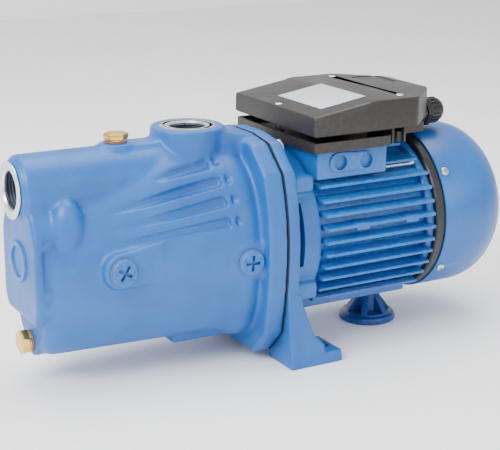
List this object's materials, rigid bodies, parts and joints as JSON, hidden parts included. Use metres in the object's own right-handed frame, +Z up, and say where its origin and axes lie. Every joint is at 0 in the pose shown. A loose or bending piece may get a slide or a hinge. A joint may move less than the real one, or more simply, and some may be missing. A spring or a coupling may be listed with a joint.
{
  "type": "shallow well jet pump",
  "caption": "Self-priming shallow well jet pump: cast iron body with top and front ports on a finned electric motor with terminal box.",
  "frame": {"origin": "midway between the two foot slots, on the floor plane", "axes": "+X along the shaft from the suction end to the motor fan, +Z up"},
  "size_m": [0.4445, 0.161, 0.2161],
  "materials": {
    "blue_cast": "gloss",
    "blue_frame": "gloss",
    "blue_cover": "gloss",
    "black_shield": "satin",
    "box_plastic": "satin",
    "foot_plastic": "satin",
    "gland_plastic": "satin",
    "brass": "machined",
    "zinc": "zinc plated",
    "steel": "ground",
    "lamination": "stamped",
    "aluminium": "cast",
    "copper": "varnished wire",
    "ceramic": "lapped",
    "rubber": "moulded",
    "fibre": "pressed fibre",
    "engineering_plastic": "moulded",
    "label": "printed foil",
    "capacitor_case": "moulded"
  },
  "bodies": {
    "pump": {"pump_body": "blue_cast", "body_gasket": "fibre", "body_bolts": "zinc", "core_plug_front": "blue_cast", "core_plug_rear": "blue_cast", "core_washers": "fibre", "ejector_nozzle": "brass", "venturi_tube": "engineering_plastic", "venturi_o_ring": "rubber", "diffuser": "engineering_plastic", "seal_seat": "ceramic", "bracket": "blue_cast", "tie_rods": "zinc", "front_bearing_outer": "steel", "rear_bearing_outer": "steel", "wave_washer": "steel", "motor_frame": "blue_frame", "stator_core": "lamination", "stator_windings": "copper", "rear_shield": "black_shield", "fan_cover": "blue_cover", "fan_cover_screws": "zinc", "rear_foot": "foot_plastic", "rear_foot_screw": "zinc", "terminal_box_base": "box_plastic", "box_gasket": "rubber", "terminal_box_lid": "box_plastic", "lid_screws": "zinc", "nameplate": "label", "capacitor": "capacitor_case", "terminal_block": "engineering_plastic", "terminal_screws": "brass", "earth_screw": "brass", "gland_body": "gland_plastic", "gland_seal": "rubber", "gland_nut": "gland_plastic"},
    "rotor": {"shaft": "steel", "impeller": "brass", "impeller_key": "steel", "impeller_nut": "brass", "seal_head": "rubber", "seal_spring": "steel", "slinger": "rubber", "front_bearing_inner": "steel", "rear_bearing_inner": "steel", "rotor_core": "lamination", "rotor_end_rings": "aluminium", "fan": "engineering_plastic", "fan_clip": "steel"},
    "front_balls": {"front_bearing_balls": "steel"},
    "rear_balls": {"rear_bearing_balls": "steel"},
    "priming_seal": {"priming_washer": "fibre"},
    "priming_screw": {"priming_plug": "brass"},
    "drain_seal": {"drain_washer": "fibre"},
    "drain_screw": {"drain_plug": "brass"}
  },
  "joints": [
    {"name": "rotor_spin", "type": "hinge", "parent": "pump", "child": "rotor", "pos_m": [-0.042, 0, 0.102], "axis": [1, 0, 0], "continuous": true},
    {"name": "front_balls_orbit", "type": "hinge", "parent": "pump", "child": "front_balls", "pos_m": [-0.011, 0, 0.102], "axis": [1, 0, 0], "continuous": true},
    {"name": "rear_balls_orbit", "type": "hinge", "parent": "pump", "child": "rear_balls", "pos_m": [0.107, 0, 0.102], "axis": [1, 0, 0], "continuous": true},
    {"name": "priming_plug_rise", "type": "slide", "parent": "pump", "child": "priming_seal", "axis": [0, 0, 1], "range_m": [0, 0.0107]},
    {"name": "priming_plug_turn", "type": "hinge", "parent": "priming_seal", "child": "priming_screw", "pos_m": [-0.1583, 0, 0.189], "axis": [0, 0, 1], "range_deg": [0, 2880]},
    {"name": "drain_plug_draw", "type": "slide", "parent": "pump", "child": "drain_seal", "axis": [-1, 0, 0], "range_m": [0, 0.0107]},
    {"name": "drain_plug_turn", "type": "hinge", "parent": "drain_seal", "child": "drain_screw", "pos_m": [-0.2355, 0, 0.036], "axis": [-1, 0, 0], "range_deg": [0, 2880]}
  ],
  "couplings": [
    {"joint": "front_balls_orbit", "follows": "rotor_spin", "ratio": 0.381},
    {"joint": "rear_balls_orbit", "follows": "rotor_spin", "ratio": 0.381},
    {"joint": "priming_plug_rise", "follows": "priming_plug_turn", "m_per_rad": 0.00021279},
    {"joint": "drain_plug_draw", "follows": "drain_plug_turn", "m_per_rad": 0.00021279}
  ]
}
